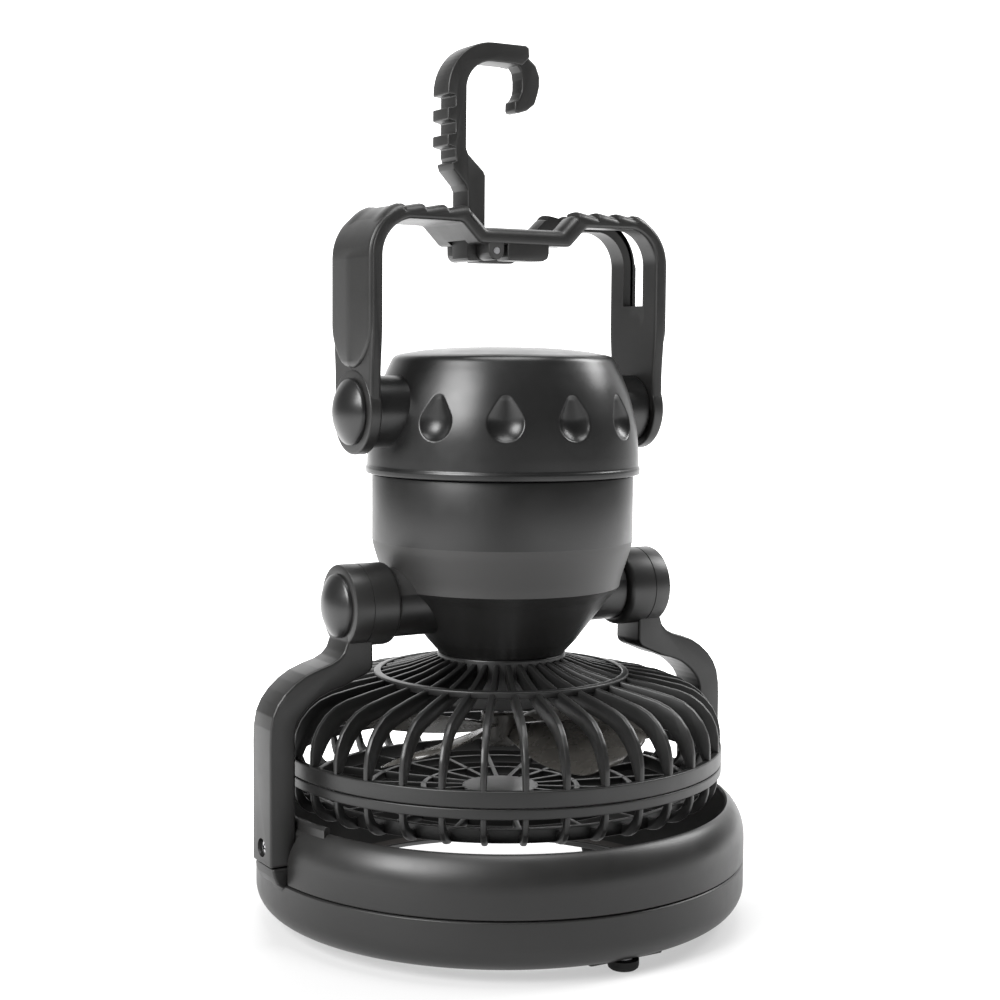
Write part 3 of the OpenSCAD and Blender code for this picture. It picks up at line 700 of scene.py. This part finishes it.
# ------------------------------------------------------------------ ring base
SEAM = 18.5
RIM = 36.0
CK = (70.2 - 61.9) / (RIM - 1.5 - 6.7)


def cone_r(z):
    return 61.9 + CK * (z - 6.7)


shoulder = spline([(76, 24.5), (75.93, 26.6), (75.6, 28.8), (74.9, 31), (73.8, 33.1), (72.5, 34.8), (71.4, 35.7), (70.7, RIM)], 0.5)
ru_prof = fillet([(75.55, SEAM + 0.1), (76, SEAM + 0.55)] + shoulder + [
                  (70.1, RIM - 0.4), (69.9, RIM - 1.6), (cone_r(6.7), 6.7), (61.42, 5.05), (61.9, 5.05), (cone_r(6.7) + 0.05, 6.7), (cone_r(6.7) + 2.2, 6.7), (70.9, 31.4), (71.6, 32.2), (72.3, 31.4), (73.4, 28.6), (73.8, 26), (73.8, SEAM + 0.1)], lambda i: 0.12 if len(shoulder) + 4 < i < len(shoulder) + 9 else 1.2, n=4)
ru = Mesh().add(lathe(ru_prof, 288))
pocket = [(-6.5, SEAM - 1), (6.5, SEAM - 1), (6.5, 25.5), (9.4, 37), (-9.4, 37), (-6.5, 25.5)]
tools = []
for sx in (-1, 1):
    v, f = [], []
    for x in (73.05, 85):
        v += [(sx * x, y, z) for y, z in pocket]
    f = [tuple(range(6)), tuple(range(11, 5, -1))] + [(i, 6 + i, 6 + (i + 1) % 6, (i + 1) % 6) for i in range(6)]
    t = Mesh()
    t.add((v, f))
    tools.append(t)
ru = cut(ru, tools)
sad = fillet([(70.25, 30), (72.5, 30), (72.5, 37.1), (71.9, 37.9), (70.9, 37.9), (70.25, 37.1)], 0.5)
for c in (0, 180):
    ru.add(lathe(sad, 24, a0=c - 15.2, a1=c + 15.2))
# the inner cone is painted paler and a little glossier than the rest of the ring: the paler colour is painted light,
# brightening its shaded wall
for i, f in enumerate(ru.f):
    px = sum(ru.v[j][0] for j in f) / len(f)
    py = sum(ru.v[j][1] for j in f) / len(f)
    pz = sum(ru.v[j][2] for j in f) / len(f)
    if 5 < pz < 34.6 and abs(math.hypot(px, py) - cone_r(pz)) < 0.12:
        ru.m[i] = 1
make("ring_top", ru, [black, painted_light_cone], "base", ["ring_upper_shell"], angle=34)

rl_prof = [(70.06, 5.0), (70.06, 3.6)] + [(68.5 + 7.5 * math.cos(math.radians(a)), 10.5 + 7.5 * math.sin(math.radians(a))) for a in range(-78, 1, 6)]
rl_prof += fillet([(76, 12), (76, SEAM - 0.5), (75.55, SEAM - 0.1), (73.8, SEAM - 0.1)], 0.3, closed=False)
rl_prof += [(73.8, 10.5)] + [(68.5 + 5.3 * math.cos(math.radians(a)), 10.5 + 5.3 * math.sin(math.radians(a))) for a in (-12, -24, -36, -48)] + [(71.2, 5.0)]
rl = Mesh().add(lathe(rl_prof, 288))
rl.add(lathe(fillet([(61.4, 5), (61.4, 4.6), (63, 3), (63.6, 3), (63.6, 5)], 0.25), 288))
tongue = fillet([(73.3, 14), (75.6, 14), (76.2, 17.4), (78.4, 18.8), (79.7, 21.2), (80.5, 24.1), (73.3, 24.1)], 0.8)
for f in (lambda q: q, mirror_x):
    tv, tf = slab(tongue, 12.8, 0.7)
    rl.add(f(([(x, y * min(1.0, max(0.12, ((z - 13.6) / 6.5))) ** 0.7, z) for x, y, z in tv], tf)))
for a in (-90, 30, 150):
    plate = fillet([(-12.4, 61.6), (12.4, 61.6), (12.4, 70.2), (-12.4, 70.2)], 1.0)
    rl.add(slab([(y, -x) for y, x in plate], 2.1, 0.4, y=3.9, plane="xy"), at=spin(a + 90))
make("ring_bottom", rl, [black], "base", ["ring_lower_shell"], angle=34)

# ------------------------------------------------------------------ yoke arms
arm_o = fillet([
    (81, 24.4), (81, 60), (80.8, 64.7), (80.1, 68.6), (78.6, 71.9), (76.2, 75), (73, 77.8), (69.6, 79.9),
    (65.4, 81.5), (61.6, 82.6), (59.2, 83.8), (57.4, 85.6), (56.4, 88.4), (56.2, 91), (56.0, PIV), (48.2, PIV),
    (47.9, 80.9), (48.5, 79.6), (49.7, 78.7), (57.7, 75.4), (61.5, 74.4), (65.1, 72.9), (67.4, 71.4),
    (69.2, 69.9), (70.9, 68.1), (72.1, 66.2), (72.8, 64.2), (73, 62), (73, 24.4)],
    lambda i: 0.8 if i in (0, 28) else 3.0, n=4)
barrel = [(9.55, 56.2), (9.55, 55.4), (6.1, 55.4), (6.1, 41.0), (10.7, 41.0), (11.5, 41.25), (12.1, 41.85), (12.3, 42.7), (12.3, 50.2), (12.12, 50.28), (12.12, 50.5), (12.3, 50.58), (12.3, 55.4), (12.1, 55.95), (11.6, 56.2)]
for side_name, f in (("right", lambda q: q), ("left", mirror_x)):
    a = Mesh()
    a.add(f(slab(arm_o, 13, 0.8, n=4)))
    a = cut(a, [Mesh().add(f(lathe([(0, 78.0)] + [(2.75, 78.0), (2.75, 84.0)] + [(0, 84.0)], 48, "x", (0, 0, 29.2), closed=False)))])
    a.add(f(lathe(barrel, 120, "x", (0, 0, PIV))))
    make("yoke_" + side_name, a, [black], "base", ["yoke_arm_" + side_name], angle=34)


def dome_profile(r, x0, x1, lip_h=1.1, groove=0.35):
    h = x1 - x0 - lip_h
    rr = (r * r + h * h) / (2 * h)
    cx = x0 + lip_h + h - rr
    a_max = math.asin(r / rr)
    pts = [(0, x0), (r - 0.35, x0), (r, x0 + 0.35), (r, x0 + lip_h - 0.25)]
    n = 14
    for i in range(n + 1):
        t = a_max * 0.985 * (1 - i / n)
        pts.append((rr * math.sin(t), cx + rr * math.cos(t)))
    pts[-1] = (0, x1)
    return pts


pc = Mesh()
for f in (lambda q: q, mirror_x):
    pc.add(f(lathe(dome_profile(9.5, 55.5, 60.5, 1.7), 96, "x", (0, 0, PIV), closed=False)))
make("lower_domes", pc, [dome_black], "base", ["yoke_pivot_caps"], angle=40)

# arm screws: a pan head with a cross recess
sc_ = Mesh()
for f in (lambda q: q, mirror_x):
    head = Mesh().add(lathe([(0, 77.2), (1.35, 77.2), (1.35, 78.7)] + fillet([(2.5, 78.7), (2.5, 79.5), (2.0, 80.1), (0.6, 80.35)], 0.4, closed=False) + [(0, 80.35)], 48, "x", (0, 0, 29.2), closed=False))
    cr = []
    for k in (0, 90):
        c = math.radians(k + 20)
        q = []
        for (u, w_) in ((-1.5, -0.3), (1.5, -0.3), (1.5, 0.3), (-1.5, 0.3)):
            q.append((u * math.cos(c) - w_ * math.sin(c), u * math.sin(c) + w_ * math.cos(c)))
        v = [(79.3, a_, 29.2 + b_) for a_, b_ in q] + [(81, a_, 29.2 + b_) for a_, b_ in q]
        cr.append(Mesh().add((v, [(0, 1, 2, 3), (7, 6, 5, 4)] + [(i, 4 + i, 4 + (i + 1) % 4, (i + 1) % 4) for i in range(4)])))
    head = cut(head, cr)
    sc_.add(f((head.v, head.f)))
make("arm_screw_heads", sc_, [dark_steel], "base", ["arm_screws"], angle=30)

# ------------------------------------------------------------------ handle
SW, BARZ, THICK = 26.0, 209.1, 3.6
CR, CX, CZ = 14.6, SXX - 14.6, 201.0
# the outer side of the right half, from its foot to the middle: x, z, normal, share of the crown
ZS = (155.7, 160, 164, 167, 169, 171, 173, 175, 177, 179, 181, 184, 192, 201)
half = [(SXX, z, 1, 0, 0) for z in ZS]
for i in range(1, 19):
    a = 72 * i / 18
    c, q = math.cos(math.radians(a)), math.sin(math.radians(a))
    half.append((CX + CR * c, CZ + CR * q, c, q, min(1.0, max(0.0, (a - 20) / 45))))
for x in (34.0, 26.6, 19.2):
    for dx, z in ((6.9, 214.1), (5.2, 214.35), (3.6, 214.65), (2.0, 214.95), (0.8, 215.15), (0.25, 215.05), (0.05, 214.75), (0.0, 213.8)):
        half.append((x + dx, z, 0, 1, 1))
half += [(18.9, 213.9, -0.5, 0.86, 1), (18.4, 213.7, -0.6, 0.8, 1), (14.6, 209.95, -0.6, 0.8, 1), (14.0, 209.4, -0.4, 0.92, 1), (13.2, BARZ + 0.02, 0, 1, 1), (10, BARZ, 0, 1, 1), (5, BARZ, 0, 1, 1)]
inner_h = [(SXX - THICK, z, -1, 0, 0) for z in ZS]
for i in range(1, 15):
    a = 80 * i / 14
    c, q = math.cos(math.radians(a)), math.sin(math.radians(a))
    inner_h.append((CX + 11.0 * c, CZ + 11.0 * q, -c, -q, 0))
inner_h += [(30, 211.8, 0, -1, 0), (22.6, 211.7, 0.1, -1, 0), (21.9, 211.5, 0.35, -0.92, 0), (21.2, 211.0, 0.6, -0.8, 0), (16.4, 206.2, 0.6, -0.8, 0), (15.7, 205.7, 0.3, -0.95, 0), (15.0, 205.6, 0, -1, 0), (8, 205.6, 0, -1, 0)]


def flip_x(rows):
    return [(-x, z, -nx, nz, c) for x, z, nx, nz, c in rows]


outline = half + flip_x(half)[::-1] + flip_x(inner_h) + inner_h[::-1]
ERAD = 0.9
stations = []
for t in (90, 60, 30, 0):
    r_ = math.radians(t)
    stations.append((13 - ERAD + ERAD * math.sin(r_), ERAD * (1 - math.cos(r_))))
stations += [(w_, 0.0) for w_ in (11.4, 10.5, 9.3, 8.0, 6.7, 5.3, 3.0)]
stations = [(-w_, d) for w_, d in stations] + [(w_, d) for w_, d in reversed(stations)]


def taper(z):
    t = min(1.0, max(0.0, (z - 165) / 17))
    return 11.9 / 13 + (1 - 11.9 / 13) * t * t * (3 - 2 * t)


def crown_at(y):
    y = abs(y)
    return 1 - ((y - 9.3) / 3.7) ** 2 if y > 9.3 else 1 - 0.3 * ((9.3 - max(y, 5.3)) / 4) ** 2


verts, faces = [], []
k = len(outline)
for y, d in stations:
    for x, z, nx, nz, c in outline:
        up_ = 1.5 * c * crown_at(y) - d
        verts.append((x + nx * up_, y * taper(z), z + nz * up_))
for l in range(len(stations) - 1):
    for i in range(k):
        j = (i + 1) % k
        faces.append((l * k + i, l * k + j, (l + 1) * k + j, (l + 1) * k + i))
faces.append(tuple(range(k)))
faces.append(tuple((len(stations) - 1) * k + i for i in reversed(range(k))))
strap = Mesh().add((verts, faces))
slot_tool = Mesh().add(slab([(-17, 188.5), (80, 188.5), (80, 240), (-17, 240)], 10.6, 0.01, n=1))
strap = cut(strap, [slot_tool])
# round lower ends
for f in (lambda q: q, mirror_x):
    strap.add(f(lathe(fillet([(5.2, SXX - 3.55), (12.6, SXX - 3.55), (12.6, SXX + 0.2), (5.2, SXX + 0.2)], 0.7), 120, "x", (0, 0, SWING_Z))))
# lugs under the bar and stiffening flange
PX, PZ = -10.4, 203.6
lug = fillet([(-6.4, 207), (-6.4, 201.9), (-5.8, 200.9), (6, 200.9), (7.7, 201.7), (8.2, 203.4), (8.2, 207)], 0.8)
for sy in (-1, 1):
    strap.add(slab(lug, 7.5, 0.4, y=sy * 9.05))
    strap.add(slab(fillet([(PX - 2.7, 206.4), (PX - 2.7, PZ)] + arc(PX, PZ, 2.7, 180, 360, 12) + [(PX + 2.7, 206.4)], 0.2), 7.5, 0.35, y=sy * 9.05))
# pads on the outer faces: a raised tongue that runs out over the corner
for f in (lambda q: q, mirror_x):
    v, fc, back = [], [], []
    W_ = 21
    path = [(SXX, 168.45 + 32.55 * i / 44, 1.0, 0.0, 1.0) for i in range(45)]
    for i in range(1, 15):
        a = 76 * i / 14
        c, q = math.cos(math.radians(a)), math.sin(math.radians(a))
        path.append((CX + CR * c, CZ + CR * q, c, q, 1 - (i / 14) ** 2.6))
    for x, z, nx, nz, h_ in path:
        hw = 12.7 * taper(z) if nz == 0 else 12.7
        if z < 181.2 and nz == 0:
            hw = max(0.05, hw * math.sqrt(max(0.0, 1 - ((181.2 - z) / 12.8) ** 2)))
        for j in range(W_):
            c = math.sin(math.pi / 2 * (-1 + 2 * j / (W_ - 1)))
            rise = min(1.0, hw * (1 - abs(c)) / 0.7) ** 0.55 * min(1.0, max(0.0, z - 168.45) / 1.1) ** 0.55
            up_ = -0.15 + (0.85 * rise + 0.75 * rise * (1 - abs(c) ** 1.15) * (1 if nz == 0 else max(0.0, 1 - q / 0.8))) * h_ + (crown_at(c * hw) * 1.5 * min(1.0, max(0.0, (math.degrees(math.atan2(nz, nx)) - 20) / 45)) - 0.12) * (1 - h_)
            v.append((x + nx * up_, c * hw, z + nz * up_))
            back.append((x - nx * 0.9, c * hw, z - nz * 0.9))
    o = len(v)
    v += back
    rows_ = len(path) - 1
    for i in range(rows_):
        for j in range(W_ - 1):
            a_ = i * W_ + j
            fc.append((a_, a_ + 1, a_ + W_ + 1, a_ + W_))
            fc.append((o + a_, o + a_ + W_, o + a_ + W_ + 1, o + a_ + 1))
    ring = [i * W_ for i in range(rows_ + 1)] + [rows_ * W_ + j for j in range(1, W_)] + [i * W_ + W_ - 1 for i in range(rows_ - 1, -1, -1)] + [j for j in range(W_ - 2, 0, -1)]
    for q in range(len(ring)):
        a_, c_ = ring[q], ring[(q + 1) % len(ring)]
        fc.append((a_, o + a_, o + c_, c_))
    pad = Mesh().add(f((v, fc)))
    pad = cut(pad, [slot_tool]) if v[0][0] > 0 and pad.v[0][0] > 0 else pad
    strap.add((pad.v, pad.f))
make("strap", strap, [handle_black], "handle", ["handle"], angle=34)

ud = Mesh()
for f in (lambda q: q, mirror_x):
    ud.add(f(lathe(dome_profile(9.8, SXX + 0.1, SXX + 5.0, 1.2), 96, "x", (0, 0, SWING_Z), closed=False)))
make("upper_domes", ud, [dome_black], "handle", ["handle_pivot_caps"], angle=40)

# ------------------------------------------------------------------ hook
hk = fillet(
    [(-15.2, 200.9), (-10.4, 200.9), (-9.4, 201.4), (-8.9, 202.4), (-9.7, 206), (-9.7, 226.4), (-10.3, 227.6), (-15.6, 232.4), (-16.3, 234), (-16.3, 251.4)]
    + arc(-7.4, 251.4, 8.9, 180, 90, 12)
    + [(0, 260.3), (3, 260), (5.6, 262.6), (5.4, 265.4), (4.4, 266)]
    + arc(-7.2, 250.6, 15.4, 90, 180, 14)
    + [(-22.6, 249.6), (-20, 249.4), (-20, 246.2), (-22.7, 245.6), (-22.7, 242.2), (-20, 241.6), (-20, 238.4), (-22.7, 237.8), (-22.7, 234.6), (-20, 234),
       (-20, 231.4), (-19.4, 230.2), (-21.2, 229.6), (-20.6, 227.6), (-16.6, 223.4), (-15.7, 221.6), (-15.7, 201.6)],
    0.5, n=3)
hook = Mesh().add(slab(hk, 9.7, 0.45, n=3))
nose = [(1, 261), (2.6, 259.8), (3.6, 258.4), (4, 256), (4, 253.6), (3.8, 252.2), (3, 250.6), (2.4, 249.9), (1.6, 249.4), (1.5, 246.8), (2, 246.1),
        (3.2, 246), (6, 246.9), (8.6, 248.9), (9.7, 252), (10.3, 254.4), (10.3, 257.4), (9, 260.6), (5.8, 263.2), (3, 263.6)]
hook.add(slab(fillet(nose, 1.2, n=3), 6.4, 0.6, n=3))
make("hook_body", hook, [handle_black], "hook", ["hook"], angle=34)

# ------------------------------------------------------------------ stage
floor = Mesh()
prof = [(-3.0, 0.0)]
w = 1.6
pts = [(-1600, 0.0)] + [(p[0], p[1]) for p in arc(1700, 900, 900, -90, 0, 24)] + [(2600, 2600)]
vs, fs = [], []
for x in (-3000, 3000):
    for (d, z) in pts:
        vs.append((x, d, z - 0.3))
k = len(pts)
for i in range(k - 1):
    fs.append((i, i + 1, k + i + 1, k + i))
fm = bpy.data.meshes.new("backdrop")
fm.from_pydata([(x * S, y * S, z * S) for x, y, z in vs], [], fs)
fm.shade_smooth()
fo = bpy.data.objects.new("backdrop", fm)
scene.collection.objects.link(fo)
fo.rotation_euler = (0, 0, -AZ)
mw, ntw, bw = shader("backdrop_paper")
tcw = n_(ntw, "ShaderNodeTexCoord")
tw = n_(ntw, "ShaderNodeTexNoise", Scale=400.0, Detail=3.0)
ntw.links.new(tcw.outputs["Object"], tw.inputs["Vector"])
bmpw = n_(ntw, "ShaderNodeBump", Strength=0.04, Distance=0.0002)
ntw.links.new(tw.outputs["Fac"], bmpw.inputs["Height"])
ntw.links.new(bmpw.outputs["Normal"], bw.inputs["Normal"])
bw.inputs["Base Color"].default_value = (0.35, 0.35, 0.35, 1)
bw.inputs["Emission Color"].default_value = (1, 1, 1, 1)
# the paper glows more beside and behind the object than in front of it
sp = n_(ntw, "ShaderNodeSeparateXYZ")
ntw.links.new(tcw.outputs["Object"], sp.inputs[0])


def mth(op, a, b_=None):
    n = n_(ntw, "ShaderNodeMath", operation=op)
    for k_, q_ in ((0, a), (1, b_)):
        if q_ is None:
            continue
        if isinstance(q_, (int, float)):
            n.inputs[k_].default_value = q_
        else:
            ntw.links.new(q_, n.inputs[k_])
    return n.outputs[0]


def ramp_(v, a, b_, lo, hi):
    n = n_(ntw, "ShaderNodeMapRange", interpolation_type="SMOOTHSTEP")
    for k_, q_ in (("From Min", a), ("From Max", b_), ("To Min", lo), ("To Max", hi)):
        n.inputs[k_].default_value = q_
    ntw.links.new(v, n.inputs["Value"])
    return n.outputs["Result"]


ax_ = mth("ABSOLUTE", sp.outputs["X"])
side_ = mth("MAXIMUM", mth("SUBTRACT", ax_, 0.08), sp.outputs["Y"])
glow = mth("MULTIPLY", ramp_(side_, -0.02, 0.22, 0.5, 1.9), ramp_(ax_, 0.9, 1.5, 1.0, 0.45))
ntw.links.new(glow, bw.inputs["Emission Strength"])
bw.inputs["Roughness"].default_value = 0.55
bw.inputs["Specular IOR Level"].default_value = 0.2
fm.materials.append(mw)


# ------------------------------------------------------------------ lights
def light(name, where, target, size, power, size_y=None, color=(1, 1, 1)):
    d = bpy.data.lights.new(name, "AREA")
    d.shape = "RECTANGLE"
    d.size = size
    d.size_y = size_y or size
    d.energy = power
    d.color = color
    o = bpy.data.objects.new(name, d)
    scene.collection.objects.link(o)
    o.location = where
    o.rotation_euler = (Vector(target) - Vector(where)).to_track_quat("-Z", "Y").to_euler()
    return o


def about(az, dist, h):
    """A place at an angle from the camera's direction: 0 is at the camera, +90 to its right."""
    a = -math.pi / 2 - AZ + math.radians(az)
    return (dist * math.cos(a), dist * math.sin(a), h)


MID = (0, 0, 0.13)
light("key_left", about(-46, 0.92, 0.70), MID, 0.56, 17.0, 0.56)
light("fill_right", about(114, 0.92, 0.84), MID, 0.42, 9.0, 0.5)
light("top", (0.0, -0.05, 1.05), MID, 0.55, 6.0)

world = bpy.data.worlds.new("studio")
scene.world = world
world.use_nodes = True
wn = world.node_tree
bg = wn.nodes["Background"]
bg.inputs["Color"].default_value = (1, 1, 1, 1)
lp = wn.nodes.new("ShaderNodeLightPath")
sky = wn.nodes.new("ShaderNodeMapRange")
sky.inputs["To Min"].default_value = 0.14
sky.inputs["To Max"].default_value = 1.0
wn.links.new(lp.outputs["Is Camera Ray"], sky.inputs["Value"])
wn.links.new(sky.outputs["Result"], bg.inputs["Strength"])
scene.view_settings.view_transform = "Standard"
scene.view_settings.look = "None"
